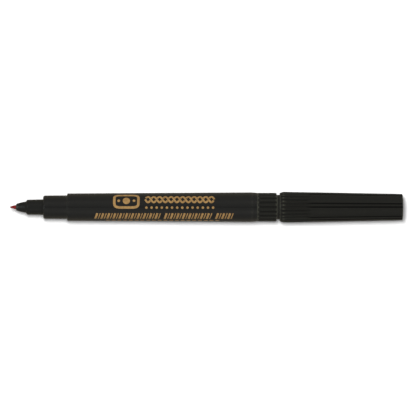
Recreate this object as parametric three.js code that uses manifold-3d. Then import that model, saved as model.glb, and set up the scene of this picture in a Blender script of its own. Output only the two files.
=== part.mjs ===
// Counterfeit detector pen: a fibre-tip marker pen with its ribbed cap posted on the tail.
// Millimetres, +Z up. The pen lies along X on the plane z = 0, nib towards -X and cap towards +X.
// Stations are distances from the nib's tip along the pen's axis, and radii are from that axis.
import * as THREE from 'three';
import { mergeVertices } from 'three/addons/utils/BufferGeometryUtils.js';
import Module from 'manifold-3d';

const wasm = await Module();
wasm.setup();

// ---- driving dimensions ----
const LENGTH = 157.2;          // nib tip to the cap's closed end, cap posted
const FACETS = 48;             // sides of every turned piece
const HALF_FACET = Math.PI / FACETS;
const CORNER_STEPS = 3;        // facets of a rounded corner

const NIB = { pointLength: 2.1, pointSteps: 5, radius: 0.8, end: 36, endChamfer: 0.3 };
const NOSE = {
  front: 2.5, frontRadius: 1.3, shoulder: 6.4, shoulderRadius: 2.25, bulge: 0.45, coneSteps: 6,
  collar: 7.0, collarFront: 3.0, collarRear: 3.1,
  spigot: 13.4, spigotRadius: 3.9, end: 27, nibBore: 0.88,
};
const SEAT = {
  front: 13.4, frontRadius: 3.95, corner: 0.7, radius: 4.65,
  rear: 22.95, rearRadius: 4.715,
};
const BARREL = {
  front: 23.0, bevel: 0.25, frontRadius: 5.485, rearRadius: 5.9,
  bevelStart: 96.9, end: 98.9, endRadius: 5.7,
  noseBore: 3.95, noseBoreEnd: 27.2, boreFront: 4.15, boreRear: 4.4,
};
const RESERVOIR = {
  front: 28, end: 92.2, coreRadius: 3.65, wrapInner: 3.7, wrapOuter: 4.0,
  nibBore: 0.88, holeSpare: 0.3,
};
const PLUG = {
  front: 98.95, ringRadius: 5.7, ringChamfer: 0.5, ringEnd: 106.7, grooveStart: 99.5,
  postRadius: 4.92, postEnd: 117.3, postEndRadius: 4.72, postCorner: 0.8,
  spigotEnd: 92.9, spigotRadius: 4.3, bore: 3.4, boreEnd: 115.4,
};
const CAP = {
  mouth: 107.9, chamferEnd: 109.3, mouthRadius: 5.65, rimRadius: 6.14,
  endRadius: 5.265, endCorner: 0.5, postClearance: 0.06,
  linerSeat: 118.05, linerSeatRadius: 4.55, linerSeatEnd: 137, wellRadius: 4.2, wellEnd: 155.6,
};
const LINER = {
  front: 118.2, outer: 4.5, lipBore: 3.15, lipEnd: 124.5,
  wellBore: 2.5, wellEnd: 134.9, end: 136.5,
};

const CAP_GROOVES = 24;        // all round the mouth
const MOUTH_GROOVE = { radius: 0.42, depth: 0.28, end: 120.2 };
const LONG_GROOVE = { radius: 0.32, depth: 0.24, end: 156.4 };
const TAIL_GROOVES = 18;
const TAIL_GROOVE = { radius: 0.5, depth: 0.32 };
const GROOVE_LEAD = 1;         // how far a cutter starts beyond an open end

// The pen rests on the two mouth ribs either side of its lowest groove.
const AXIS_HEIGHT = CAP.rimRadius * Math.cos(HALF_FACET);

const BLACK = { color: 0x232321, roughness: 0.5, metalness: 0 };
const RED_FIBRE = { color: 0x7d1c1b, roughness: 0.9, metalness: 0 };
const WHITE_FIBRE = { color: 0xd8cfae, roughness: 0.95, metalness: 0 };
const CLEAR_FILM = { color: 0xe6e4da, roughness: 0.25, metalness: 0 };

// ---- helpers ----
// A solid of revolution from [station, radius] points. They run rearwards along the outside.
function turned(profile) {
  const points = profile.map(([station, radius]) => new THREE.Vector2(radius, station - LENGTH / 2));
  const geometry = new THREE.LatheGeometry(points, FACETS, HALF_FACET);
  return geometry.rotateZ(-Math.PI / 2);
}

// The same for a tube: its profile runs rearwards outside, forwards inside, and closes on itself.
function turnedTube(profile) {
  return turned([...profile, profile[0]]);
}

// Points of a rounded corner, a quarter ellipse from [station, radius] a to b. A front corner
// climbs from its face first, and a rear one runs along its side first.
function roundedCorner(a, b, isFront) {
  const points = [];
  for (let i = 0; i <= CORNER_STEPS; i += 1) {
    const angle = (Math.PI / 2) * (i / CORNER_STEPS);
    const early = Math.sin(angle);
    const late = 1 - Math.cos(angle);
    const along = isFront ? late : early;
    const across = isFront ? early : late;
    points.push([a[0] + (b[0] - a[0]) * along, a[1] + (b[1] - a[1]) * across]);
  }
  return points;
}

// A closed geometry as a manifold solid, without the collapsed triangles at a profile's poles.
function toSolid(geometry) {
  const bare = geometry.clone();
  bare.deleteAttribute('normal');
  bare.deleteAttribute('uv');
  const merged = mergeVertices(bare, 1e-4);
  const index = merged.index.array;
  const triangles = [];
  for (let i = 0; i < index.length; i += 3) {
    const [a, b, c] = [index[i], index[i + 1], index[i + 2]];
    if (a !== b && b !== c && c !== a) {
      triangles.push(a, b, c);
    }
  }
  const vertProperties = new Float32Array(merged.attributes.position.array);
  const triVerts = new Uint32Array(triangles);
  return new wasm.Manifold(new wasm.Mesh({ numProp: 3, vertProperties, triVerts }));
}

function toGeometry(solid) {
  const mesh = solid.getMesh();
  const geometry = new THREE.BufferGeometry();
  const positions = new Float32Array(mesh.vertProperties);
  geometry.setAttribute('position', new THREE.BufferAttribute(positions, 3));
  geometry.setIndex(new THREE.BufferAttribute(new Uint32Array(mesh.triVerts), 1));
  geometry.computeVertexNormals();
  return geometry;
}

// A round-bottomed groove cutter that lies just under the line from [station, radius] a to b.
function grooveCutter(a, b, groove, angle) {
  const run = b[0] - a[0];
  const drop = a[1] - b[1];
  const cutter = new THREE.CapsuleGeometry(groove.radius, Math.hypot(run, drop), 2, 8);
  cutter.rotateZ(-Math.PI / 2);
  cutter.rotateY(Math.atan2(drop, run));
  const middle = (a[0] + b[0]) / 2 - LENGTH / 2;
  const height = (a[1] + b[1]) / 2 + groove.radius - groove.depth;
  cutter.translate(middle, 0, height);
  return toSolid(cutter.rotateX(angle));
}

function named(name, geometry, finish) {
  const mesh = new THREE.Mesh(geometry, new THREE.MeshStandardMaterial(finish));
  mesh.name = name;
  return mesh;
}

// ---- the pen's front ----
// The fibre nib: a parabolic point on a plain rod that runs back into the reservoir.
function makeNib() {
  const profile = [[0, 0]];
  for (let i = 1; i <= NIB.pointSteps; i += 1) {
    const along = (i / NIB.pointSteps) ** 2;
    profile.push([NIB.pointLength * along, NIB.radius * Math.sqrt(along)]);
  }
  profile.push([NIB.end - NIB.endChamfer, NIB.radius]);
  profile.push([NIB.end, NIB.radius - NIB.endChamfer]);
  profile.push([NIB.end, 0]);
  return named('nib', turned(profile), RED_FIBRE);
}

// The nib holder: a bulging cone, a step, the collar that the cap seals on, and a spigot.
function makeNibHolder() {
  const cone = [];
  for (let i = 0; i <= NOSE.coneSteps; i += 1) {
    const along = i / NOSE.coneSteps;
    const across = along + NOSE.bulge * along * (1 - along);
    cone.push([
      NOSE.front + (NOSE.shoulder - NOSE.front) * along,
      NOSE.frontRadius + (NOSE.shoulderRadius - NOSE.frontRadius) * across,
    ]);
  }
  return named('nib_holder', turnedTube([
    [NOSE.front, NOSE.nibBore],
    ...cone,
    [NOSE.collar, NOSE.collarFront],
    [NOSE.spigot, NOSE.collarRear],
    [NOSE.spigot, NOSE.spigotRadius],
    [NOSE.end, NOSE.spigotRadius],
    [NOSE.end, NOSE.nibBore],
  ]), BLACK);
}

// ---- the barrel and what it holds ----
function makeBarrel() {
  const corner = roundedCorner(
    [SEAT.front, SEAT.radius - SEAT.corner / 2],
    [SEAT.front + SEAT.corner, SEAT.radius],
    true,
  );
  return named('barrel', turnedTube([
    [SEAT.front, SEAT.frontRadius],
    ...corner,
    [SEAT.rear, SEAT.rearRadius],
    [BARREL.front, BARREL.frontRadius - BARREL.bevel],
    [BARREL.front + BARREL.bevel, BARREL.frontRadius],
    [BARREL.bevelStart, BARREL.rearRadius],
    [BARREL.end, BARREL.endRadius],
    [BARREL.end, BARREL.boreRear],
    [BARREL.noseBoreEnd, BARREL.boreFront],
    [BARREL.noseBoreEnd, BARREL.noseBore],
  ]), BLACK);
}

// The ink store: a fibre rod with a blind hole for the nib's shank, in an open film tube.
function makeReservoirCore() {
  const holeEnd = NIB.end + RESERVOIR.holeSpare;
  return named('reservoir_core', turned([
    [holeEnd, 0],
    [holeEnd, RESERVOIR.nibBore],
    [RESERVOIR.front, RESERVOIR.nibBore],
    [RESERVOIR.front, RESERVOIR.coreRadius],
    [RESERVOIR.end, RESERVOIR.coreRadius],
    [RESERVOIR.end, 0],
  ]), WHITE_FIBRE);
}

function makeReservoirWrap() {
  return named('reservoir_wrap', turnedTube([
    [RESERVOIR.front, RESERVOIR.wrapInner],
    [RESERVOIR.front, RESERVOIR.wrapOuter],
    [RESERVOIR.end, RESERVOIR.wrapOuter],
    [RESERVOIR.end, RESERVOIR.wrapInner],
  ]), CLEAR_FILM);
}

// ---- the tail ----
// The tail plug: a spigot in the barrel, a ribbed ring, and a tapered post that holds the cap.
function makeTailPlug() {
  const ringRear = PLUG.ringEnd - PLUG.ringChamfer;
  const postRear = PLUG.postEnd - PLUG.postCorner;
  const postFace = PLUG.postEndRadius - PLUG.postCorner;
  let plug = toSolid(turned([
    [PLUG.boreEnd, 0],
    [PLUG.boreEnd, PLUG.bore],
    [PLUG.spigotEnd, PLUG.bore],
    [PLUG.spigotEnd, PLUG.spigotRadius],
    [PLUG.front, PLUG.spigotRadius],
    [PLUG.front, PLUG.ringRadius],
    [ringRear, PLUG.ringRadius],
    [PLUG.ringEnd, PLUG.ringRadius - PLUG.ringChamfer],
    [PLUG.ringEnd, PLUG.postRadius],
    ...roundedCorner([postRear, PLUG.postEndRadius], [PLUG.postEnd, postFace], false),
    [PLUG.postEnd, 0],
  ]));
  for (let i = 0; i < TAIL_GROOVES; i += 1) {
    const from = [PLUG.grooveStart, PLUG.ringRadius];
    const to = [PLUG.ringEnd + GROOVE_LEAD, PLUG.ringRadius];
    plug = plug.subtract(grooveCutter(from, to, TAIL_GROOVE, (2 * Math.PI * i) / TAIL_GROOVES));
  }
  return named('tail_plug', toGeometry(plug), BLACK);
}

// ---- the cap ----
function capRadius(station) {
  const along = (station - CAP.chamferEnd) / (LENGTH - CAP.chamferEnd);
  return CAP.rimRadius + (CAP.endRadius - CAP.rimRadius) * along;
}

// The bore follows the post's taper with a sliding clearance, and ends at the liner's seat.
function capBore(station) {
  const taper = (PLUG.postRadius - PLUG.postEndRadius) / (PLUG.postEnd - PLUG.ringEnd);
  return PLUG.postRadius + CAP.postClearance - taper * (station - PLUG.ringEnd);
}

function turnedCap() {
  const cornerStart = LENGTH - CAP.endCorner;
  const endFace = CAP.endRadius - CAP.endCorner;
  const corner = roundedCorner([cornerStart, CAP.endRadius], [LENGTH, endFace], false);
  return toSolid(turned([
    [CAP.wellEnd, 0],
    [CAP.wellEnd, CAP.wellRadius],
    [CAP.linerSeatEnd, CAP.wellRadius],
    [CAP.linerSeatEnd, CAP.linerSeatRadius],
    [CAP.linerSeat, CAP.linerSeatRadius],
    [CAP.linerSeat, capBore(CAP.linerSeat)],
    [CAP.mouth, capBore(CAP.mouth)],
    [CAP.mouth, CAP.mouthRadius],
    [CAP.chamferEnd, CAP.rimRadius],
    ...corner,
    [LENGTH, 0],
  ]));
}

// Grooves stand 24 to the turn at the mouth. Every fourth gap between them is a rib whose two
// grooves run on to the closed end; the others run out behind the mouth and leave a smooth panel.
function makeCapShell() {
  let shell = turnedCap();
  const pitch = (2 * Math.PI) / CAP_GROOVES;
  const lead = CAP.mouth - GROOVE_LEAD;
  for (let i = 0; i < CAP_GROOVES; i += 1) {
    const mouthEnd = MOUTH_GROOVE.end;
    const mouthLine = [[lead, capRadius(lead)], [mouthEnd, capRadius(mouthEnd)]];
    shell = shell.subtract(grooveCutter(...mouthLine, MOUTH_GROOVE, pitch * i));
    if (i % 4 === 0 || i % 4 === 3) {
      const longLine = [[mouthEnd, capRadius(mouthEnd)], [LONG_GROOVE.end, capRadius(LONG_GROOVE.end)]];
      shell = shell.subtract(grooveCutter(...longLine, LONG_GROOVE, pitch * i));
    }
  }
  return named('cap_shell', toGeometry(shell), BLACK);
}

// The cap's inner cup, whose lip closes on the nib holder's collar and keeps the nib wet.
function makeCapLiner() {
  return named('cap_liner', turned([
    [LINER.wellEnd, 0],
    [LINER.wellEnd, LINER.wellBore],
    [LINER.lipEnd, LINER.wellBore],
    [LINER.lipEnd, LINER.lipBore],
    [LINER.front, LINER.lipBore],
    [LINER.front, LINER.outer],
    [LINER.end, LINER.outer],
    [LINER.end, 0],
  ]), BLACK);
}

const pen = new THREE.Group();
pen.position.z = AXIS_HEIGHT;
pen.add(makeNib(), makeNibHolder(), makeBarrel(), makeReservoirCore(), makeReservoirWrap());
pen.add(makeTailPlug(), makeCapShell(), makeCapLiner());
pen.updateMatrixWorld(true);

export default pen;
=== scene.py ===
"""Counterfeit detector pen: the looks of its pieces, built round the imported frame.

Every piece is turned about the pen's axis from a short profile, then grooved where it is ribbed.
A profile is a list of (station, radius, corner) in metres: stations run along +X from the nib to
the cap's closed end, radii are from the pen's axis, and corner is how far a rounding reaches.
An angle round the pen is 0 on top, where the print is, and grows towards -Y.
"""

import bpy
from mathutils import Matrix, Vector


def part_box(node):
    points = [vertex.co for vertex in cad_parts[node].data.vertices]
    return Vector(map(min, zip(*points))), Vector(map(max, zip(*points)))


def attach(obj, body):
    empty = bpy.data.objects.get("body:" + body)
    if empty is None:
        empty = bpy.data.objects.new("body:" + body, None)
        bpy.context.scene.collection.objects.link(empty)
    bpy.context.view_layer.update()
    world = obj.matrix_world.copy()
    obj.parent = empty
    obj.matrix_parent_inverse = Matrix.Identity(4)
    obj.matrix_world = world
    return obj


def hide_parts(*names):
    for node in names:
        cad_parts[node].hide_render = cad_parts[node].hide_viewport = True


bl_info = {
    "name": "Counterfeit Detector Pen",
    "version": (1, 0, 0),
    "blender": (4, 5, 0),
    "location": "View3D > Sidebar > Pen",
    "description": "Builds a ribbed fibre-tip pen, its cap and its print round a fixed frame",
    "category": "Add Mesh",
}

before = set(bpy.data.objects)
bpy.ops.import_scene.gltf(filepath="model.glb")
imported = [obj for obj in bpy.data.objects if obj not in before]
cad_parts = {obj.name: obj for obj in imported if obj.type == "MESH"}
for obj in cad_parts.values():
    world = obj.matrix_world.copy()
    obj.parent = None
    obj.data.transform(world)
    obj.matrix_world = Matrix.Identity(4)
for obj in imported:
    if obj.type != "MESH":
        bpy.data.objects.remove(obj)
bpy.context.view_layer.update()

import math

import bmesh
import bpy
from bpy.props import FloatProperty, FloatVectorProperty, IntProperty, PointerProperty
from mathutils import Matrix, Vector, noise

MM = 0.001
CAD_SIDES = 48                  # sides of every turned CAD node
CORNER_SEGMENTS = 5             # facets of a rounded corner
SECTORS = 16                    # a turned piece is spun as one sector and then doubled, so 2 ** n
MERGE_DISTANCE = 2e-7
SHARP_ANGLE = math.radians(38)  # edges that turn further than this stay sharp
WEAR_AND_HIGHLIGHT_REACH = 0.32 * MM          # how far wear and painted highlight spread from a rounded corner
SHOULDER_HIGHLIGHT_REACH = 0.16 * MM      # how far the painted highlight on a rib's shoulder spreads from a groove
RIBBED_WEAR_AND_HIGHLIGHT = (5.0, 5.0, 4.6)    # how many times lighter the ribbed pieces' worn edges, painted shoulder highlights and chamfer glints are, in red, green and blue
RIBBED_GLOSS = 0.14             # specular level of the ribbed pieces, duller than the barrel
RING_GAP = 0.01 * MM            # between the barrel's rear and the tail ring
NO_GROOVE = (0.0, 0.0, 0.0)     # depth, painted shade and painted shoulder highlight where nothing is cut


# ---- places from the frame ----

def span(node):
    """The first and last station of a CAD node."""
    low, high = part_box(node)
    return low.x, high.x


def widest(node):
    """A CAD node's largest radius: its sides are flat, so its box is a little narrower."""
    low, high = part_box(node)
    return (high.y - low.y) / 2 / math.cos(math.pi / CAD_SIDES)


NIB_TIP, NIB_END = span("nib")
NOSE_FRONT, NOSE_END = span("nib_holder")
SEAT_FRONT, BARREL_END = span("barrel")
PLUG_FRONT, POST_END = span("tail_plug")
CORE_FRONT, CORE_END = span("reservoir_core")
CAP_MOUTH, CAP_END = span("cap_shell")
LINER_FRONT, LINER_END = span("cap_liner")
BARREL_RADIUS = widest("barrel")
RING_RADIUS = widest("tail_plug")
RIM_RADIUS = widest("cap_shell")
RING_FRONT = BARREL_END + RING_GAP
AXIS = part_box("cap_shell")[0].z + RIM_RADIUS * math.cos(math.pi / CAD_SIDES)


# ---- sizes and finishes that a user would change ----

def length(name, description, millimetres):
    return FloatProperty(name=name, description=description, default=millimetres * MM, min=0.0,
                         precision=5, unit="LENGTH", subtype="DISTANCE")


def count(name, description, default):
    return IntProperty(name=name, description=description, default=default, min=3, max=200)


def angle(name, description, degrees):
    return FloatProperty(name=name, description=description, default=math.radians(degrees),
                         subtype="ANGLE", unit="ROTATION")


def share(name, description, default):
    return FloatProperty(name=name, description=description, default=default, min=0.0, max=1.0,
                         subtype="FACTOR")


def colour(name, description, default):
    return FloatVectorProperty(name=name, description=description, default=default, size=3,
                               min=0.0, max=1.0, subtype="COLOR")


class PenFrontSizes(bpy.types.PropertyGroup):
    """The nib and the nib holder."""
    point: length("Nib point", "How long the nib's pointed part is", 2.1)
    nib_radius: length("Nib radius", "Radius of the nib's rod", 0.8)
    rim_radius: length("Rim radius", "Radius of the cone's front rim", 1.3)
    cone: length("Cone", "Length of the cone", 3.9)
    cone_radius: length("Cone radius", "Radius of the cone at its rear", 2.25)
    bulge: share("Cone bulge", "How far the cone's side bows outwards", 0.45)
    step: length("Step", "Length of the slope between cone and collar", 0.6)
    collar_front: length("Collar front", "Radius of the collar behind the slope", 3.0)
    collar_rear: length("Collar rear", "Radius of the collar at the barrel", 3.1)
    bore: length("Nib bore", "Radius of the hole that the nib sits in", 0.88)


class PenBarrelSizes(bpy.types.PropertyGroup):
    """The barrel, with the cap's seat at its front."""
    seat: length("Seat length", "Length of the cap's seat", 9.55)
    seat_front: length("Seat front", "Radius of the seat at its front", 4.65)
    seat_rear: length("Seat rear", "Radius of the seat at the shoulder", 4.715)
    seat_corner: length("Seat corner", "Rounding of the seat's front edge", 0.75)
    seat_bore: length("Seat bore", "Radius of the bore that holds the nib holder", 3.95)
    front: length("Front radius", "Radius of the barrel behind the shoulder", 5.485)
    bevel: length("Rear bevel", "Length of the bevel at the barrel's rear", 2.0)
    bevel_drop: length("Bevel drop", "How far the rear bevel comes in", 0.2)
    bore_front: length("Bore front", "Radius of the main bore at its front", 4.15)
    bore_rear: length("Bore rear", "Radius of the main bore at its rear", 4.4)
    seam_width: length("Seam width", "Width of the mould's parting line", 0.55)
    seam_depth: length("Seam depth", "Depth of the mould's parting line", 0.09)


class PenTailSizes(bpy.types.PropertyGroup):
    """The tail plug: ribbed ring, post and spigot."""
    ring: length("Ring length", "Length of the ribbed ring", 7.79)
    ring_corner: length("Ring corner", "Rounding of the ring's rear edge", 0.5)
    post_root: length("Post root", "Radius of the post at the ring", 4.92)
    post_tip: length("Post tip", "Radius of the post at its end", 4.72)
    post_corner: length("Post corner", "Rounding of the post's end", 0.8)
    spigot_radius: length("Spigot radius", "Radius of the spigot", 4.3)
    bore: length("Bore", "Radius of the plug's hollow", 3.4)
    end_wall: length("End wall", "Thickness of the post's end", 1.9)
    grooves: count("Grooves", "Grooves round the ring", 18)
    groove_cutter: length("Groove round", "Radius of a groove's round bottom", 0.58)
    groove_depth: length("Groove depth", "Depth of a groove", 0.42)
    groove_lead: length("Groove lead", "Plain length in front of the grooves", 0.45)
    groove_run_in: length("Groove run-in", "Length over which a groove deepens", 0.9)


class PenCapSizes(bpy.types.PropertyGroup):
    """The cap and its liner."""
    mouth_radius: length("Mouth radius", "Radius at the mouth's edge", 5.65)
    chamfer: length("Mouth chamfer", "Length of the mouth's chamfer", 1.4)
    end_radius: length("End radius", "Radius at the closed end", 5.265)
    end_corner: length("End corner", "Rounding of the closed end's edge", 0.5)
    end_dome: length("End dome", "How far the end's face stands out", 0.12)
    gate: length("Gate mark", "Radius of the moulding mark in the end's middle", 0.9)
    gate_depth: length("Gate depth", "Depth of the moulding mark", 0.18)
    clearance: length("Clearance", "Gap between the cap's bore and the post", 0.06)
    wall_end: length("End wall", "Thickness of the closed end", 1.6)
    well_radius: length("Well radius", "Radius of the hollow behind the liner", 4.2)
    liner_seat: length("Liner seat", "Radius of the bore round the liner", 4.55)
    grooves: count("Grooves", "Grooves round the mouth", 24)
    panels: count("Panels", "Smooth panels round the cap", 6)
    mouth_cutter: length("Mouth groove round", "Radius of a mouth groove's round bottom", 0.55)
    mouth_depth: length("Mouth groove depth", "Depth of a mouth groove", 0.42)
    mouth_run: length("Mouth groove length", "Length of the mouth grooves at full depth", 10.2)
    run_out: length("Run-out", "Length over which a mouth groove ends", 2.6)
    long_cutter: length("Long groove round", "Radius of a long groove's round bottom", 0.42)
    long_depth: length("Long groove depth", "Depth of a long groove", 0.28)
    liner_radius: length("Liner radius", "Outside radius of the liner", 4.5)
    lip_bore: length("Lip bore", "Radius of the liner's lip", 3.15)
    lip: length("Lip length", "Length of the liner's wide mouth", 6.3)
    liner_bore: length("Liner bore", "Radius of the liner's inner well", 2.5)
    liner_wall: length("Liner wall", "Thickness of the liner's closed end", 1.6)


class PenPrintSizes(bpy.types.PropertyGroup):
    """The gold marks on the barrel."""
    lift: length("Lift", "How far the foil stands above the barrel", 0.015)
    foil: length("Foil", "Thickness of the foil", 0.03)
    note_start: length("Note start", "Station of the note mark, from the nib's tip", 41.4)
    note_width: length("Note width", "Length of the note mark", 10.6)
    note_height: length("Note height", "Height of the note mark round the barrel", 6.6)
    note_angle: angle("Note angle", "Where the note mark's middle is", -27.0)
    twist_start: length("Twist start", "Station where the twisted band starts", 54.2)
    twist: length("Twist length", "Length of the twisted band", 27.6)
    twist_height: length("Twist height", "Height of the twisted band", 2.6)
    twist_line: length("Twist line", "Width of each strand", 0.8)
    twist_angle: angle("Twist angle", "Where the twisted band's middle is", -33.0)
    crossings: count("Crossings", "Half waves of the twisted band", 12)
    dots: count("Dots", "Dots in the row", 14)
    dot_radius: length("Dot radius", "Radius of a dot", 0.5)
    dot_angle: angle("Dot angle", "Where the row of dots is", 2.0)
    bar_height: length("Bar height", "Height of a slanted bar", 2.9)
    bar_angle: angle("Bar angle", "Where the row of bars is", 41.0)
    bar_start: length("Bar start", "Station where the bars start", 34.2)
    dash_angle: angle("Dash angle", "Where the row of fine dashes is", 69.0)
    dash_start: length("Dash start", "Station where the dashes start", 38.5)


class PenFinish(bpy.types.PropertyGroup):
    """Colours and surface."""
    plastic: colour("Plastic", "Colour of the moulded plastic", (0.0043, 0.0043, 0.0036))
    dust: colour("Dust", "Colour of the dust in the grooves", (0.020, 0.019, 0.017))
    plastic_rough: share("Plastic roughness", "Roughness of the plastic", 0.4)
    nib_light: colour("Nib", "Colour of the nib's fibres", (0.21, 0.012, 0.010))
    nib_dark: colour("Nib shade", "Colour between the nib's fibres", (0.085, 0.003, 0.003))
    gold: colour("Gold", "Colour of the gold print", (0.385, 0.232, 0.085))
    gold_dark: colour("Gold shade", "Colour of the print's dull patches", (0.245, 0.14, 0.052))


# ---- shader maths ----

class Number:
    """A number socket that takes Python's arithmetic, one Math node to each operator."""

    def __init__(self, graph, socket):
        self.graph = graph
        self.socket = socket

    def __add__(self, other):
        return self.graph.maths("ADD", self, other)

    def __radd__(self, other):
        return self.graph.maths("ADD", other, self)

    def __sub__(self, other):
        return self.graph.maths("SUBTRACT", self, other)

    def __rsub__(self, other):
        return self.graph.maths("SUBTRACT", other, self)

    def __mul__(self, other):
        return self.graph.maths("MULTIPLY", self, other)

    def __rmul__(self, other):
        return self.graph.maths("MULTIPLY", other, self)


class Graph:
    """A material's nodes, round one Principled shader."""

    def __init__(self, name):
        self.material = bpy.data.materials.new(name)
        self.material.use_nodes = True
        self.tree = self.material.node_tree
        self.shader = self.tree.nodes["Principled BSDF"]

    def node(self, kind, settings, sockets):
        """Adds a node: its settings first, then the values or links of its sockets."""
        node = self.tree.nodes.new(kind)
        for key, value in settings.items():
            setattr(node, key, value)
        for key, value in sockets.items():
            self.feed(node.inputs[key], value)
        return node

    def feed(self, socket, value):
        if isinstance(value, Number):
            self.tree.links.new(value.socket, socket)
        elif isinstance(value, bpy.types.NodeSocket):
            self.tree.links.new(value, socket)
        elif isinstance(value, tuple) and len(value) == 3 and socket.type == "RGBA":
            socket.default_value = (*value, 1.0)
        else:
            socket.default_value = value

    def maths(self, operation, first, second):
        node = self.node("ShaderNodeMath", {"operation": operation}, {0: first, 1: second})
        return Number(self, node.outputs[0])

    def mapped(self, scale):
        """Object coordinates, scaled along X, Y and Z."""
        place = self.node("ShaderNodeTexCoord", {}, {})
        node = self.node("ShaderNodeMapping", {}, {"Vector": place.outputs["Object"], "Scale": scale})
        return node.outputs["Vector"]

    def noise(self, scale, detail=2.0, roughness=0.5):
        """Noise whose features are about 1 / scale metres along each axis."""
        sockets = {"Vector": self.mapped(scale), "Scale": 1.0, "Detail": detail, "Roughness": roughness}
        node = self.node("ShaderNodeTexNoise", {}, sockets)
        return Number(self, node.outputs["Fac"])

    def stretch(self, value, low, high):
        """0 below low, 1 above high, and a straight line between."""
        sockets = {"Value": value, "From Min": low, "From Max": high}
        node = self.node("ShaderNodeMapRange", {"clamp": True}, sockets)
        return Number(self, node.outputs["Result"])

    def attribute(self, name):
        node = self.node("ShaderNodeAttribute", {"attribute_name": name}, {})
        return Number(self, node.outputs["Fac"])

    def mix(self, factor, first, second):
        node = self.tree.nodes.new("ShaderNodeMix")
        node.data_type = "RGBA"
        self.feed(node.inputs[0], factor)
        self.feed(node.inputs[6], first)
        self.feed(node.inputs[7], second)
        return node.outputs[2]

    def bump(self, height, depth, strength=1.0):
        sockets = {"Height": height, "Distance": depth, "Strength": strength}
        node = self.node("ShaderNodeBump", {}, sockets)
        return node.outputs["Normal"]

    def surface(self, **inputs):
        """Feeds the shader: linked inputs vary over the surface, plain ones are the same all over."""
        for key, value in inputs.items():
            self.feed(self.shader.inputs[key.replace("_", " ")], value)
        return self.material


def even(scale):
    return (scale, scale, scale)


def moulded_plastic(name, colour_scale, finish, edge=(1.9, 1.9, 1.8), gloss=0.36):
    """Satin black plastic: fine grain, hairlines and nicks, edges lightened by wear and painted
    highlight, grooves darkened by painted shade and dust.
    edge is how many times lighter the worn and painted-highlit edges are than the rest, in red, green
    and blue."""
    graph = Graph(name)
    grain = graph.noise(even(7000), 3.0, 0.6)
    blotch = graph.noise((130, 420, 420), 3.0)
    hair = graph.stretch(graph.noise((260, 11000, 11000), 2.0), 0.63, 0.74)
    nick = graph.stretch(graph.noise((5200, 1500, 1500), 2.0), 0.70, 0.76)
    wear_and_highlight = graph.attribute("wear_and_highlight")
    # How strong the painted shade in a groove is; dust gathers in the grooves too.
    groove = graph.attribute("groove")
    dust = groove * graph.stretch(graph.noise(even(2600), 4.0, 0.7), 0.35, 0.75)
    base = tuple(channel * colour_scale for channel in finish.plastic)
    pale = tuple(channel * times for channel, times in zip(base, edge))
    # Painted shade: the grooves' colour, a fifth of the plastic's.
    deep = tuple(channel * 0.2 for channel in base)
    # Worn edges and painted highlights: lighter where wear_and_highlight is high.
    worn_and_highlit = graph.mix(graph.stretch(wear_and_highlight * (0.4 + blotch), 0.25, 0.9), base, pale)
    tinted = graph.mix(blotch * 0.35, worn_and_highlit, tuple(channel * 0.72 for channel in base))
    scuffed = graph.mix(0.22 * hair + 0.45 * nick, tinted, pale)
    rough = finish.plastic_rough + 0.16 * (blotch - 0.5) + 0.10 * hair + 0.3 * groove - 0.12 * wear_and_highlight
    height = grain - 0.9 * hair - 1.2 * nick
    return graph.surface(
        Base_Color=graph.mix(dust * 0.12, graph.mix(groove, scuffed, deep), tuple(finish.dust)),
        Roughness=rough + 0.10 * nick,
        Normal=graph.bump(height, 0.006 * MM, 0.7),
        IOR=1.48,
        Specular_IOR_Level=gloss,
    )


def pressed_fibre(name, light, dark, streak, roughness, sheen):
    """Bonded fibres that run along the pen, light strands over dark gaps."""
    graph = Graph(name)
    strands = graph.noise((1400, streak, streak), 4.0, 0.65)
    soak = graph.noise(even(1500), 2.0)
    mask = graph.stretch(strands + 0.35 * (soak - 0.5), 0.36, 0.66)
    return graph.surface(
        Base_Color=graph.mix(mask, dark, light),
        Roughness=roughness - 0.18 * soak,
        Normal=graph.bump(strands, 0.05 * MM, 0.8),
        Specular_IOR_Level=0.3,
        Sheen_Weight=sheen,
        Sheen_Roughness=0.5,
    )


def gold_foil(finish):
    """Hot-stamped gold: a warm satin foil with dull patches and pinholes rubbed to the plastic."""
    graph = Graph("stamped_gold_foil")
    patch = graph.noise(even(900), 3.0, 0.6)
    pinhole = graph.stretch(graph.noise(even(5200), 3.0, 0.65), 0.66, 0.72)
    brushed = graph.noise((500, 9000, 9000), 2.0)
    tone = graph.mix(graph.stretch(patch, 0.35, 0.7), tuple(finish.gold), tuple(finish.gold_dark))
    return graph.surface(
        Base_Color=graph.mix(pinhole, tone, tuple(finish.plastic)),
        Metallic=0.35 - 0.35 * pinhole,
        Roughness=0.42 + 0.18 * patch + 0.10 * brushed,
        Normal=graph.bump(brushed + patch, 0.004 * MM, 0.6),
        Specular_IOR_Level=0.4,
    )


def clear_film():
    """The reservoir's film: glossy and half clear, with lengthwise creases."""
    graph = Graph("clear_film")
    crease = graph.noise((120, 2400, 2400), 3.0)
    return graph.surface(
        Base_Color=graph.mix(crease, (0.72, 0.71, 0.66), (0.82, 0.81, 0.77)),
        Roughness=0.16 + 0.14 * crease,
        Alpha=0.35 + 0.3 * crease,
        Normal=graph.bump(crease, 0.05 * MM, 0.5),
    )


def pale_floor():
    """A white sheet, dimmer in the pen's reflections so that they don't wash its sides out."""
    graph = Graph("pale_floor")
    tooth = graph.noise(even(400), 3.0)
    rays = graph.node("ShaderNodeLightPath", {}, {})
    sheet = graph.mix(tooth, (0.90, 0.90, 0.90), (0.93, 0.93, 0.93))
    return graph.surface(
        Base_Color=graph.mix(rays.outputs["Is Glossy Ray"], sheet, (0.30, 0.275, 0.225)),
        Roughness=0.9,
        Specular_IOR_Level=0.1,
    )


# ---- mesh work ----

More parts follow.
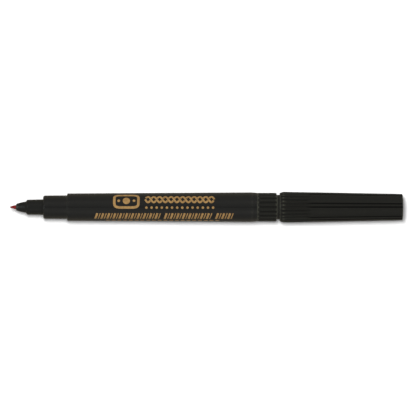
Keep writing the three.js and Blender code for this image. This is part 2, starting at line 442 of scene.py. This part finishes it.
def turned(profile, steps, closed=False, ring=1.5 * MM, fine=()):
    """A bmesh turned about the pen's axis. fine lists (from, to, ring) stretches with shorter rings.
    Where a corner is rounded, the mesh's wear_and_highlight value is 1, and it fades within
    WEAR_AND_HIGHLIGHT_REACH: wear on the barrel, and wear with painted highlights and glints on the
    nose, cap and tail."""
    bm = bmesh.new()
    wear_and_highlight = bm.verts.layers.float.new("wear_and_highlight")
    corners = [(Vector((x, 0.0, AXIS + r)), corner) for x, r, corner in profile if corner]
    verts = [bm.verts.new((x, 0.0, AXIS + r)) for x, r, corner in profile]
    pairs = list(zip(verts, verts[1:]))
    if closed:
        pairs.append((verts[-1], verts[0]))
    for pair in pairs:
        bm.edges.new(pair)
    for reach in sorted({corner for x, r, corner in profile if corner}):
        chosen = [v for v, (x, r, corner) in zip(verts, profile) if corner == reach]
        bmesh.ops.bevel(bm, geom=chosen, offset=reach, offset_type="OFFSET", affect="VERTICES",
                        segments=CORNER_SEGMENTS, profile=0.5, material=-1)
    split_rings(bm, ring, fine)
    for vert in bm.verts:
        near = [(vert.co - place).length - reach * 0.3 for place, reach in corners]
        gap = max(min(near, default=1.0), 0.0)
        vert[wear_and_highlight] = math.exp(-(gap / WEAR_AND_HIGHLIGHT_REACH) ** 2)
    centre = (0.0, 0.0, AXIS)
    sector = 2 * math.pi / SECTORS
    bmesh.ops.spin(bm, geom=bm.verts[:] + bm.edges[:], cent=centre, axis=(1.0, 0.0, 0.0),
                   dvec=(0.0, 0.0, 0.0), angle=sector, steps=steps // SECTORS, use_merge=False)
    for doubling in range(SECTORS.bit_length() - 1):
        copy = bmesh.ops.duplicate(bm, geom=bm.verts[:] + bm.edges[:] + bm.faces[:])
        copied = [item for item in copy["geom"] if isinstance(item, bmesh.types.BMVert)]
        bmesh.ops.rotate(bm, verts=copied, cent=centre, matrix=Matrix.Rotation(sector, 3, "X"))
        sector *= 2
    bmesh.ops.remove_doubles(bm, verts=bm.verts[:], dist=MERGE_DISTANCE)
    bmesh.ops.recalc_face_normals(bm, faces=bm.faces[:])
    return bm


def split_rings(bm, ring, fine):
    """Splits a profile's long edges so that no ring is longer than it should be."""
    by_cuts = {}
    for edge in bm.edges:
        middle = (edge.verts[0].co.x + edge.verts[1].co.x) / 2
        sizes = [size for start, end, size in fine if start <= middle <= end]
        cuts = math.ceil(edge.calc_length() / min(sizes, default=ring)) - 1
        by_cuts.setdefault(cuts, []).append(edge)
    for cuts, edges in by_cuts.items():
        if cuts > 0:
            bmesh.ops.subdivide_edges(bm, edges=edges, cuts=cuts)


def polar(vert):
    """A vertex's radius and its angle round the pen."""
    return math.hypot(vert.co.y, vert.co.z - AXIS), math.atan2(-vert.co.y, vert.co.z - AXIS)


def set_radius(vert, radius):
    now = math.hypot(vert.co.y, vert.co.z - AXIS)
    vert.co.y *= radius / now
    vert.co.z = AXIS + (vert.co.z - AXIS) * radius / now


def round_bottom(gap, cutter, depth):
    """Depth of a round-bottomed groove at a distance from its middle."""
    if depth <= 0.0 or abs(gap) >= cutter:
        return 0.0
    return max(math.sqrt(cutter ** 2 - gap ** 2) - (cutter - depth), 0.0)


def shoulder(gap, cutter):
    """How strong the painted highlight on a rib is beside a groove: 1 at the groove's edge, and 0 a
    little way off.
    """
    return max(1 - abs(abs(gap) - cutter) / SHOULDER_HIGHLIGHT_REACH, 0.0)


def cut_grooves(bm, surface_radius, groove_at):
    """Pushes a turned surface in. groove_at(station, radius, angle) gives a groove's depth below
    surface_radius(station), and then its painted shade and the painted highlight on the rib's shoulder
    beside it, from 0 to 1, for the mesh."""
    worn_away = 0.3
    wear_and_highlight = bm.verts.layers.float["wear_and_highlight"]
    groove = bm.verts.layers.float.new("groove")
    for vert in bm.verts:
        radius, turn = polar(vert)
        if radius < MERGE_DISTANCE:
            continue
        depth, shade, shoulder_highlight = groove_at(vert.co.x, radius, turn)
        bottom = surface_radius(vert.co.x) - depth
        if depth > 0.0 and bottom < radius:
            set_radius(vert, bottom)
            vert[groove] = shade
            vert[wear_and_highlight] *= worn_away
        vert[wear_and_highlight] = max(vert[wear_and_highlight], shoulder_highlight)


def finished(bm, name, material, body, slot, *nodes):
    """Makes the piece's object: smooth, with sharp edges kept, riding on its body."""
    mesh = bpy.data.meshes.new(name)
    bm.to_mesh(mesh)
    bm.free()
    mesh.shade_smooth()
    mesh.set_sharp_from_angle(angle=SHARP_ANGLE)
    mesh.materials.append(material)
    piece = bpy.data.objects.new(name, mesh)
    bpy.context.scene.collection.objects.link(piece)
    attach(piece, body)
    if nodes:
        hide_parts(*nodes)


# ---- the pen's front ----

class PEN_OT_nib(bpy.types.Operator):
    """Adds the red fibre nib"""
    bl_idname = "pen.add_nib"
    bl_label = "Nib"

    def execute(self, context):
        sizes = context.scene.pen_front
        finish = context.scene.pen_finish
        profile = [(NIB_TIP, 0.0, 0)]
        rows = 16
        for i in range(1, rows + 1):
            along = (i / rows) ** 2
            profile.append((NIB_TIP + sizes.point * along, sizes.nib_radius * math.sqrt(along), 0))
        profile.append((NIB_END, sizes.nib_radius, 0.25 * MM))
        profile.append((NIB_END, 0.0, 0))
        fade_length = 0.3 * (NOSE_FRONT - NIB_TIP)
        bm = turned(profile, 96, ring=1.0 * MM, fine=[(NIB_TIP, NOSE_FRONT, 0.1 * MM)])
        for vert in bm.verts:
            radius, turn = polar(vert)
            if radius > 0.05 * MM and vert.co.x < NOSE_FRONT:
                strand = noise.noise(Vector((vert.co.x * 500, turn * 9, 0.0)))
                bead = noise.noise(Vector((vert.co.x * 3000, turn * 3, 5.0)))
                fade = min((NOSE_FRONT - vert.co.x) / fade_length, 1.0)
                set_radius(vert, radius * (1 + fade * (0.035 * strand + 0.025 * bead - 0.02)))
        material = pressed_fibre("red_nib_fibre", tuple(finish.nib_light), tuple(finish.nib_dark),
                                 9000, 0.78, 0.05)
        finished(bm, "fibre_nib", material, "pen", "nib_fibre", "nib")
        return {"FINISHED"}


class PEN_OT_nib_holder(bpy.types.Operator):
    """Adds the nose: cone, slope, sealing collar and spigot"""
    bl_idname = "pen.add_nib_holder"
    bl_label = "Nib holder"

    def execute(self, context):
        sizes = context.scene.pen_front
        cone_end = NOSE_FRONT + sizes.cone
        collar = cone_end + sizes.step
        spigot_radius = widest("nib_holder")
        profile = [(NOSE_FRONT, sizes.bore, 0.1 * MM), (NOSE_FRONT, sizes.rim_radius, 0.18 * MM)]
        rows = 12
        for i in range(1, rows + 1):
            along = i / rows
            across = along + sizes.bulge * along * (1 - along)
            radius = sizes.rim_radius + (sizes.cone_radius - sizes.rim_radius) * across
            profile.append((NOSE_FRONT + sizes.cone * along, radius, 0))
        profile += [
            (collar, sizes.collar_front, 0.22 * MM),
            (SEAT_FRONT - 0.12 * MM, sizes.collar_rear, 0),
            (SEAT_FRONT, sizes.collar_rear, 0),
            (SEAT_FRONT, spigot_radius, 0.04 * MM),
            (NOSE_END, spigot_radius, 0.3 * MM),
            (NOSE_END, sizes.bore, 0),
        ]
        bm = turned(profile, 240, closed=True, ring=1.2 * MM)
        highlight_rim = 0.2 * MM
        fade_length = 0.9 * MM
        wear_and_highlight = bm.verts.layers.float["wear_and_highlight"]
        # Painted highlight: the cone's front rim is set light and fades over fade_length behind it; the
        # other rounded corners keep a fifth of their value.
        for vert in bm.verts:
            behind = max(vert.co.x - NOSE_FRONT - highlight_rim, 0.0) / fade_length
            vert[wear_and_highlight] = max(0.2 * vert[wear_and_highlight], math.exp(-behind ** 2))
        # The rim's painted highlight is 4 to 5 times lighter than the plastic, with a cool tint.
        material = moulded_plastic("black_plastic_nose", 1.0, context.scene.pen_finish,
                                   (4.0, 5.0, 4.7), 0.3)
        finished(bm, "nose_cone_and_collar", material, "pen", "black_plastic", "nib_holder")
        return {"FINISHED"}


# ---- the barrel and what it holds ----

def barrel_radius(station):
    """The barrel's outside between its shoulder and its rear bevel."""
    sizes = bpy.context.scene.pen_barrel
    start = SEAT_FRONT + sizes.seat
    end = BARREL_END - sizes.bevel
    along = (station - start) / (end - start)
    return sizes.front + (BARREL_RADIUS - sizes.front) * along


class PEN_OT_barrel(bpy.types.Operator):
    """Adds the barrel tube with the cap's seat and the mould's parting lines"""
    bl_idname = "pen.add_barrel"
    bl_label = "Barrel"

    def execute(self, context):
        sizes = context.scene.pen_barrel
        shoulder = SEAT_FRONT + sizes.seat
        bevel = BARREL_END - sizes.bevel
        rear = barrel_radius(bevel) - sizes.bevel_drop
        bore_start = NOSE_END + 0.2 * MM
        outside_from = 4.5 * MM
        profile = [
            (SEAT_FRONT, sizes.seat_bore, 0.05 * MM),
            (SEAT_FRONT, sizes.seat_front, sizes.seat_corner),
            (shoulder, sizes.seat_rear, 0.08 * MM),
            (shoulder + 0.02 * MM, sizes.front, 0.25 * MM),
            (bevel, barrel_radius(bevel), 0.4 * MM),
            (BARREL_END, rear, 0.12 * MM),
            (BARREL_END, sizes.bore_rear, 0.1 * MM),
            (bore_start, sizes.bore_front, 0),
            (bore_start, sizes.seat_bore, 0),
        ]
        bm = turned(profile, 384, closed=True, ring=1.4 * MM)

        def seam(station, radius, turn):
            nearest = min(abs(turn), math.pi - abs(turn)) * radius
            across = 1 - nearest / (sizes.seam_width / 2)
            if across <= 0.0 or radius < outside_from:
                return NO_GROOVE
            # The parting line's groove is darkened with painted shade.
            return sizes.seam_depth * across, min(2 * across, 1.0), 0.0

        def outside(station):
            if station < shoulder + 0.005 * MM:
                along = (station - SEAT_FRONT) / sizes.seat
                return sizes.seat_front + (sizes.seat_rear - sizes.seat_front) * along
            slope = sizes.bevel_drop / sizes.bevel
            return min(barrel_radius(station), rear + (BARREL_END - station) * slope)

        cut_grooves(bm, outside, seam)
        material = moulded_plastic("black_plastic_barrel", 1.0, context.scene.pen_finish)
        finished(bm, "barrel_tube", material, "pen", "black_plastic", "barrel")
        return {"FINISHED"}


class PEN_OT_reservoir(bpy.types.Operator):
    """Adds the ink reservoir: the fibre rod and its film tube"""
    bl_idname = "pen.add_reservoir"
    bl_label = "Reservoir"

    def execute(self, context):
        front = context.scene.pen_front
        core_radius = widest("reservoir_core")
        film_radius = widest("reservoir_wrap")
        film_wall = 0.3 * MM
        hole_end = NIB_END + 0.3 * MM
        core = [
            (hole_end, 0.0, 0),
            (hole_end, front.bore, 0),
            (CORE_FRONT, front.bore, 0.1 * MM),
            (CORE_FRONT, core_radius, 0.3 * MM),
            (CORE_END, core_radius, 0.3 * MM),
            (CORE_END, 0.0, 0),
        ]
        film = [
            (CORE_FRONT, film_radius - film_wall, 0.05 * MM),
            (CORE_FRONT, film_radius, 0.05 * MM),
            (CORE_END, film_radius, 0.05 * MM),
            (CORE_END, film_radius - film_wall, 0.05 * MM),
        ]
        fibre = pressed_fibre("ink_store_fibre", (0.68, 0.62, 0.42), (0.42, 0.33, 0.18), 5000, 0.9, 0.2)
        finished(turned(core, 128, ring=2 * MM), "reservoir_fibre_rod", fibre, "pen",
                 "reservoir_fibre", "reservoir_core")
        finished(turned(film, 128, closed=True, ring=2 * MM), "reservoir_film_tube", clear_film(),
                 "pen", "reservoir_film", "reservoir_wrap")
        return {"FINISHED"}


# ---- the tail ----

class PEN_OT_tail_plug(bpy.types.Operator):
    """Adds the tail plug: ribbed ring, cap post and spigot"""
    bl_idname = "pen.add_tail_plug"
    bl_label = "Tail plug"

    def execute(self, context):
        sizes = context.scene.pen_tail
        ring_end = RING_FRONT + sizes.ring
        groove_start = RING_FRONT + sizes.groove_lead
        glint_lip = 0.4 * MM
        profile = [
            (POST_END - sizes.end_wall, 0.0, 0),
            (POST_END - sizes.end_wall, sizes.bore, 0),
            (PLUG_FRONT, sizes.bore, 0.2 * MM),
            (PLUG_FRONT, sizes.spigot_radius, 0.3 * MM),
            (RING_FRONT, sizes.spigot_radius, 0),
            (RING_FRONT, RING_RADIUS, 0.12 * MM),
            (ring_end, RING_RADIUS, sizes.ring_corner),
            (ring_end, sizes.post_root, 0.12 * MM),
            (POST_END, sizes.post_tip, sizes.post_corner),
            (POST_END, 0.0, 0),
        ]
        fine = [(groove_start - 0.2 * MM, groove_start + sizes.groove_run_in, 0.12 * MM)]
        bm = turned(profile, 24 * sizes.grooves, ring=0.5 * MM, fine=fine)
        pitch = 2 * math.pi / sizes.grooves

        def groove_at(station, radius, turn):
            if not groove_start < station <= ring_end or radius < sizes.post_root + 0.1 * MM:
                return NO_GROOVE
            early = max(1 - (station - groove_start) / sizes.groove_run_in, 0.0)
            gap = (turn - pitch * round(turn / pitch)) * radius
            depth = round_bottom(gap, sizes.groove_cutter, sizes.groove_depth * (1 - early ** 2))
            # Painted highlight on the ribs' shoulders, growing over the run-in, and painted shade in
            # the grooves.
            shoulder_highlight = 0.55 * (1 - early) * shoulder(gap, sizes.groove_cutter)
            return depth, 0.5 * depth / sizes.groove_depth, shoulder_highlight

        cut_grooves(bm, lambda station: RING_RADIUS, groove_at)
        # Painted glint: the first stretch of each groove behind its start is set light.
        wear_and_highlight = bm.verts.layers.float["wear_and_highlight"]
        groove = bm.verts.layers.float["groove"]
        for vert in bm.verts:
            if vert[groove] > 0.0 and vert.co.x < groove_start + glint_lip:
                vert[wear_and_highlight] = 0.8
        # 2.3 paints the tail's plastic lighter than the barrel's, a painted sheen in place of the gloss
        # it lacks.
        material = moulded_plastic("black_plastic_tail", 2.3, context.scene.pen_finish,
                                   RIBBED_WEAR_AND_HIGHLIGHT, RIBBED_GLOSS)
        finished(bm, "tail_plug_and_post", material, "pen", "black_plastic", "tail_plug")
        return {"FINISHED"}


# ---- the cap ----

class PEN_OT_cap_shell(bpy.types.Operator):
    """Adds the cap: ribs round its mouth, and long ribs between smooth panels to its closed end"""
    bl_idname = "pen.add_cap_shell"
    bl_label = "Cap"

    def execute(self, context):
        sizes = context.scene.pen_cap
        tail = context.scene.pen_tail
        rim = CAP_MOUTH + sizes.chamfer
        seat_end = LINER_END + 0.5 * MM
        liner_seat = LINER_FRONT - 0.15 * MM
        ring_end = RING_FRONT + tail.ring
        taper = (tail.post_root - tail.post_tip) / (POST_END - ring_end)

        def bore(station):
            return tail.post_root + sizes.clearance - taper * (station - ring_end)

        def outside(station):
            along = (station - rim) / (CAP_END - rim)
            return RIM_RADIUS + (sizes.end_radius - RIM_RADIUS) * along

        well_end = CAP_END - sizes.wall_end
        run_start = CAP_MOUTH + sizes.mouth_run
        run_end = run_start + sizes.run_out
        gate_floor = CAP_END - sizes.gate_depth
        gate_middle = CAP_END - 0.3 * sizes.gate_depth
        profile = [
            (well_end, 0.0, 0),
            (well_end, sizes.well_radius, 0.5 * MM),
            (seat_end, sizes.well_radius, 0),
            (seat_end, sizes.liner_seat, 0),
            (liner_seat, sizes.liner_seat, 0),
            (liner_seat, bore(liner_seat), 0),
            (CAP_MOUTH, bore(CAP_MOUTH), 0.2 * MM),
            (CAP_MOUTH, sizes.mouth_radius, 0.15 * MM),
            (rim, RIM_RADIUS, 0.35 * MM),
            (run_start, outside(run_start), 0),
            (run_end, outside(run_end), 0),
            (CAP_END - sizes.end_dome, sizes.end_radius, sizes.end_corner),
            (CAP_END, 2.2 * sizes.gate, 0),
            (CAP_END, sizes.gate, 0.06 * MM),
            (gate_floor, 0.8 * sizes.gate, 0.06 * MM),
            (gate_floor, 0.4 * sizes.gate, 0.05 * MM),
            (gate_middle, 0.33 * sizes.gate, 0.04 * MM),
            (gate_middle, 0.0, 0),
        ]
        fine = [
            (CAP_MOUTH, rim + 0.3 * MM, 0.12 * MM),
            (run_start, run_end, 0.14 * MM),
            (CAP_END - 2 * MM, CAP_END, 0.2 * MM),
        ]
        bm = turned(profile, 20 * sizes.grooves, ring=1.6 * MM, fine=fine)
        pitch = 2 * math.pi / sizes.grooves
        between = sizes.grooves // sizes.panels

        def groove_at(station, radius, turn):
            if radius < bore(CAP_MOUTH) + 0.15 * MM:
                return NO_GROOVE
            index = round(turn / pitch)
            gap = (turn - pitch * index) * radius
            late = max((station - run_start) / sizes.run_out, 0.0)
            mouth = round_bottom(gap, sizes.mouth_cutter, sizes.mouth_depth * (1 - late ** 2))
            if index % between in (0, between - 1):
                deep = round_bottom(gap, sizes.long_cutter, sizes.long_depth)
                # Painted highlight on the long ribs' shoulders, and painted shade in the long grooves,
                # darker behind the mouth's run-out.
                shoulder_highlight = 0.6 * shoulder(gap, sizes.long_cutter)
                dark = 0.25 + 0.75 * min(late, 1.0)
                return max(mouth, deep), dark * min(3 * deep / sizes.long_depth, 1.0), shoulder_highlight
            # Painted highlight on the mouth ribs' shoulders, fading over the run-out, and faint painted
            # shade in the mouth grooves.
            shoulder_highlight = 0.5 * (1 - min(late, 1.0)) * shoulder(gap, sizes.mouth_cutter)
            return mouth, 0.3 * mouth / sizes.mouth_depth, shoulder_highlight

        cut_grooves(bm, outside, groove_at)
        # 2.1 paints the cap's plastic lighter than the barrel's, a painted sheen in place of the gloss
        # it lacks.
        material = moulded_plastic("black_plastic_cap", 2.1, context.scene.pen_finish,
                                   RIBBED_WEAR_AND_HIGHLIGHT, RIBBED_GLOSS)
        finished(bm, "ribbed_cap", material, "cap", "black_plastic", "cap_shell")
        return {"FINISHED"}


class PEN_OT_cap_liner(bpy.types.Operator):
    """Adds the cap's inner cup, whose lip closes on the nose"""
    bl_idname = "pen.add_cap_liner"
    bl_label = "Cap liner"

    def execute(self, context):
        sizes = context.scene.pen_cap
        well_end = LINER_END - sizes.liner_wall
        lip_end = LINER_FRONT + sizes.lip
        profile = [
            (well_end, 0.0, 0),
            (well_end, sizes.liner_bore, 0.3 * MM),
            (lip_end, sizes.liner_bore, 0.2 * MM),
            (lip_end, sizes.lip_bore, 0.2 * MM),
            (LINER_FRONT, sizes.lip_bore, 0.35 * MM),
            (LINER_FRONT, sizes.liner_radius, 0.2 * MM),
            (LINER_END, sizes.liner_radius, 0.3 * MM),
            (LINER_END, 0.0, 0),
        ]
        bm = turned(profile, 192, ring=1.0 * MM)
        material = moulded_plastic("black_plastic_liner", 1.5, context.scene.pen_finish)
        finished(bm, "cap_inner_cup", material, "cap", "liner_plastic", "cap_liner")
        return {"FINISHED"}


# ---- the gold print ----

def strip(bm, path, width, start, end, steps, across=1):
    """A flat ribbon of the given width along path(t), t from start to end, in the print's plane."""
    made = bmesh.ops.create_grid(bm, x_segments=steps, y_segments=across, size=0.5)
    for vert in made["verts"]:
        t = start + (end - start) * (vert.co.x + 0.5)
        side = vert.co.y * width
        here = Vector(path(t))
        ahead = Vector(path(t + 1e-4)) - Vector(path(t - 1e-4))
        ahead.normalize()
        vert.co = (here.x - ahead.y * side, here.y + ahead.x * side, 0.0)


def disc(bm, x, y, radius):
    """A flat disc, made from a bent grid so that it can also bend round the barrel."""
    made = bmesh.ops.create_grid(bm, x_segments=10, y_segments=10, size=1.0)
    for vert in made["verts"]:
        u, v = vert.co.x, vert.co.y
        bent = (u * math.sqrt(1 - v * v / 2), v * math.sqrt(1 - u * u / 2))
        vert.co = (x + radius * bent[0], y + radius * bent[1], 0.0)


def note_mark(bm, sizes):
    """A plain banknote sign: a round-cornered frame, a middle disc and a dot at each side."""
    middle = sizes.note_start + sizes.note_width / 2
    height = -sizes.note_angle * barrel_radius(NIB_TIP + middle)
    line = 1.0 * MM
    disc_radius = 1.45 * MM
    dot_radius = 0.55 * MM
    dot_offset = 3.05 * MM
    half_width = (sizes.note_width - line) / 2
    half_height = (sizes.note_height - line) / 2
    squareness = 5.0

    def frame_line(t):
        turn = 2 * math.pi * t
        x, y = math.cos(turn), math.sin(turn)
        grow = (abs(x) ** squareness + abs(y) ** squareness) ** (-1 / squareness)
        return (middle + half_width * grow * x, height + half_height * grow * y, 0.0)

    strip(bm, frame_line, line, 0.0, 1.0, 144, 2)
    disc(bm, middle, height, disc_radius)
    for side in (-1, 1):
        disc(bm, middle + side * dot_offset, height, dot_radius)


def twisted_band(bm, sizes):
    """Two strands that cross over and under by turns, as in a security border."""
    height = -sizes.twist_angle * barrel_radius(NIB_TIP + sizes.twist_start)
    half_wave = sizes.twist / sizes.crossings
    gap = 0.13

    def strand(sign):
        def path(t):
            wave = math.sin(math.pi * t) * sizes.twist_height / 2
            return (sizes.twist_start + half_wave * t, height + sign * wave, 0.0)
        return path

    for i in range(sizes.crossings):
        for sign in (-1, 1):
            under_here = (i % 2 == 0) == (sign > 0)
            under_next = not under_here
            start = i + (gap if under_here else 0.0)
            end = i + 1 - (gap if under_next else 0.0)
            strip(bm, strand(sign), sizes.twist_line, start, end, 18, 2)


def dotted_row(bm, sizes):
    """A row of dots, as long as the twisted band."""
    height = -sizes.dot_angle * barrel_radius(NIB_TIP + sizes.twist_start)
    pitch = (sizes.twist - 2 * sizes.dot_radius) / (sizes.dots - 1)
    for i in range(sizes.dots):
        disc(bm, sizes.twist_start + sizes.dot_radius + pitch * i, height, sizes.dot_radius)


def slanted_bars(bm, sizes):
    """Three groups of slanted bars, thick and thin by turns."""
    height = -sizes.bar_angle * barrel_radius(NIB_TIP + sizes.bar_start)
    cell = 2.4 * MM
    lean = 0.9 * MM
    group_gap = 1.3 * MM
    thick = (0.0, 0.85 * MM)
    thin = (1.2 * MM, 0.4 * MM)
    start = sizes.bar_start
    for cells in (11, 8, 3):
        for i in range(cells):
            for shift, width in (thick, thin):
                left = start + cell * i + shift

                def path(t, left=left):
                    return (left + lean * t, height + sizes.bar_height * (t - 0.5), 0.0)

                strip(bm, path, width, 0.0, 1.0, 8)
        start += cell * cells + group_gap


def fine_dashes(bm, sizes):
    """A row of short dashes, low on the barrel's side."""
    height = -sizes.dash_angle * barrel_radius(NIB_TIP + sizes.dash_start)
    dashes = 20
    pitch = 2.3 * MM
    dash = 1.5 * MM
    line = 0.7 * MM
    for i in range(dashes):
        left = sizes.dash_start + pitch * i

        def path(t, left=left):
            return (left + dash * t, height, 0.0)

        strip(bm, path, line, 0.0, 1.0, 3, 2)


class PEN_OT_gold_print(bpy.types.Operator):
    """Adds the gold foil marks: a plain note sign, a twisted band, dots, bars and dashes"""
    bl_idname = "pen.add_gold_print"
    bl_label = "Gold print"

    def execute(self, context):
        sizes = context.scene.pen_print
        material = gold_foil(context.scene.pen_finish)
        marks = (
            ("print_note_sign", note_mark),
            ("print_twisted_band", twisted_band),
            ("print_dots", dotted_row),
            ("print_bars", slanted_bars),
            ("print_dashes", fine_dashes),
        )
        for name, draw in marks:
            bm = bmesh.new()
            draw(bm, sizes)
            bmesh.ops.remove_doubles(bm, verts=bm.verts[:], dist=MERGE_DISTANCE)
            for vert in bm.verts:
                station = NIB_TIP + vert.co.x
                turn = vert.co.y / barrel_radius(station)
                radius = barrel_radius(station) + sizes.lift
                vert.co = (station, radius * math.sin(turn), AXIS + radius * math.cos(turn))
            bmesh.ops.solidify(bm, geom=bm.faces[:], thickness=sizes.foil)
            bmesh.ops.recalc_face_normals(bm, faces=bm.faces[:])
            finished(bm, name, material, "pen", "gold_print")
        return {"FINISHED"}


# ---- floor, light and camera ----

def area_light(name, place, target, size, power, tint=(1.0, 1.0, 1.0), glossy_only=False,
               diffuse_only=False):
    data = bpy.data.lights.new(name, "AREA")
    data.shape = "RECTANGLE"
    data.size, data.size_y = size
    data.energy = power
    light = bpy.data.objects.new(name, data)
    bpy.context.scene.collection.objects.link(light)
    light.location = place
    light.rotation_euler = (Vector(target) - Vector(place)).to_track_quat("-Z", "Y").to_euler()
    data.color = tint
    light.visible_camera = False
    light.visible_glossy = not diffuse_only
    light.visible_diffuse = not glossy_only


class PEN_OT_stage(bpy.types.Operator):
    """Adds the pale floor, the soft studio light and the camera"""
    bl_idname = "pen.add_stage"
    bl_label = "Stage"

    def execute(self, context):
        scene = context.scene
        scene.view_settings.view_transform = "Standard"
        bm = bmesh.new()
        half_floor = 2.0
        bmesh.ops.create_grid(bm, x_segments=8, y_segments=8, size=half_floor)
        mesh = bpy.data.meshes.new("pale_floor")
        bm.to_mesh(mesh)
        bm.free()
        mesh.materials.append(pale_floor())
        floor = bpy.data.objects.new("pale_floor", mesh)
        scene.collection.objects.link(floor)

        pen_length = CAP_END - NIB_TIP
        key_distance = 5 * pen_length
        lean_up = math.radians(8.5)
        lean_left = math.radians(3.5)
        key = (-math.tan(lean_left) * key_distance, math.tan(lean_up) * key_distance, key_distance)
        key_size = (0.14, 0.25)
        area_light("soft_key", key, (0, 0, 0), key_size, 6.6, diffuse_only=True)
        side_size = (0.9, 0.24)
        warm = (1.0, 0.95, 0.86)
        for side, power in ((-1, 0.34), (1, 0.27)):
            place = (0.0, side * 0.42, 0.5)
            area_light("side_card", place, (0, 0, AXIS), side_size, power, warm, glossy_only=True)
        front_place = (-0.45, 0.03, 0.46)
        front_size = (0.16, 0.16)
        cool = (0.86, 1.0, 0.97)
        area_light("front_card", front_place, (NIB_TIP, 0, AXIS), front_size, 0.6, cool,
                   glossy_only=True)

        world = bpy.data.worlds.new("pale_room")
        world.use_nodes = True
        background = world.node_tree.nodes["Background"]
        background.inputs["Color"].default_value = (1.0, 1.0, 1.0, 1.0)
        background.inputs["Strength"].default_value = 0.42
        scene.world = world

        camera_data = bpy.data.cameras.new("camera")
        distance = 1.6
        view_width = 166.4 * MM
        off_centre = (0.66 * MM, -0.35 * MM)
        camera_data.lens = camera_data.sensor_width * distance / view_width
        camera = bpy.data.objects.new("camera", camera_data)
        scene.collection.objects.link(camera)
        camera.location = (*off_centre, AXIS + distance)
        scene.camera = camera
        return {"FINISHED"}


class PEN_PT_panel(bpy.types.Panel):
    """The pen's pieces, each with its own button"""
    bl_idname = "PEN_PT_panel"
    bl_label = "Detector pen"
    bl_space_type = "VIEW_3D"
    bl_region_type = "UI"
    bl_category = "Pen"

    def draw(self, context):
        for operator in OPERATORS:
            self.layout.operator(operator.bl_idname)
        for group in GROUPS:
            sizes = getattr(context.scene, group)
            box = self.layout.box()
            box.label(text=group)
            for key in sizes.bl_rna.properties.keys():
                if key not in ("rna_type", "name"):
                    box.prop(sizes, key)


GROUPS = {
    "pen_front": PenFrontSizes,
    "pen_barrel": PenBarrelSizes,
    "pen_tail": PenTailSizes,
    "pen_cap": PenCapSizes,
    "pen_print": PenPrintSizes,
    "pen_finish": PenFinish,
}
OPERATORS = (
    PEN_OT_stage,
    PEN_OT_nib,
    PEN_OT_nib_holder,
    PEN_OT_barrel,
    PEN_OT_reservoir,
    PEN_OT_tail_plug,
    PEN_OT_cap_shell,
    PEN_OT_cap_liner,
    PEN_OT_gold_print,
)


def register():
    for group in GROUPS.values():
        bpy.utils.register_class(group)
    for operator in OPERATORS:
        bpy.utils.register_class(operator)
    bpy.utils.register_class(PEN_PT_panel)
    for name, group in GROUPS.items():
        setattr(bpy.types.Scene, name, PointerProperty(type=group))


def unregister():
    for name in GROUPS:
        delattr(bpy.types.Scene, name)
    bpy.utils.unregister_class(PEN_PT_panel)
    for operator in reversed(OPERATORS):
        bpy.utils.unregister_class(operator)
    for group in reversed(list(GROUPS.values())):
        bpy.utils.unregister_class(group)


def main():
    register()
    for operator in OPERATORS:
        category, name = operator.bl_idname.split(".")
        getattr(getattr(bpy.ops, category), name)()


if __name__ == "__main__":
    main()
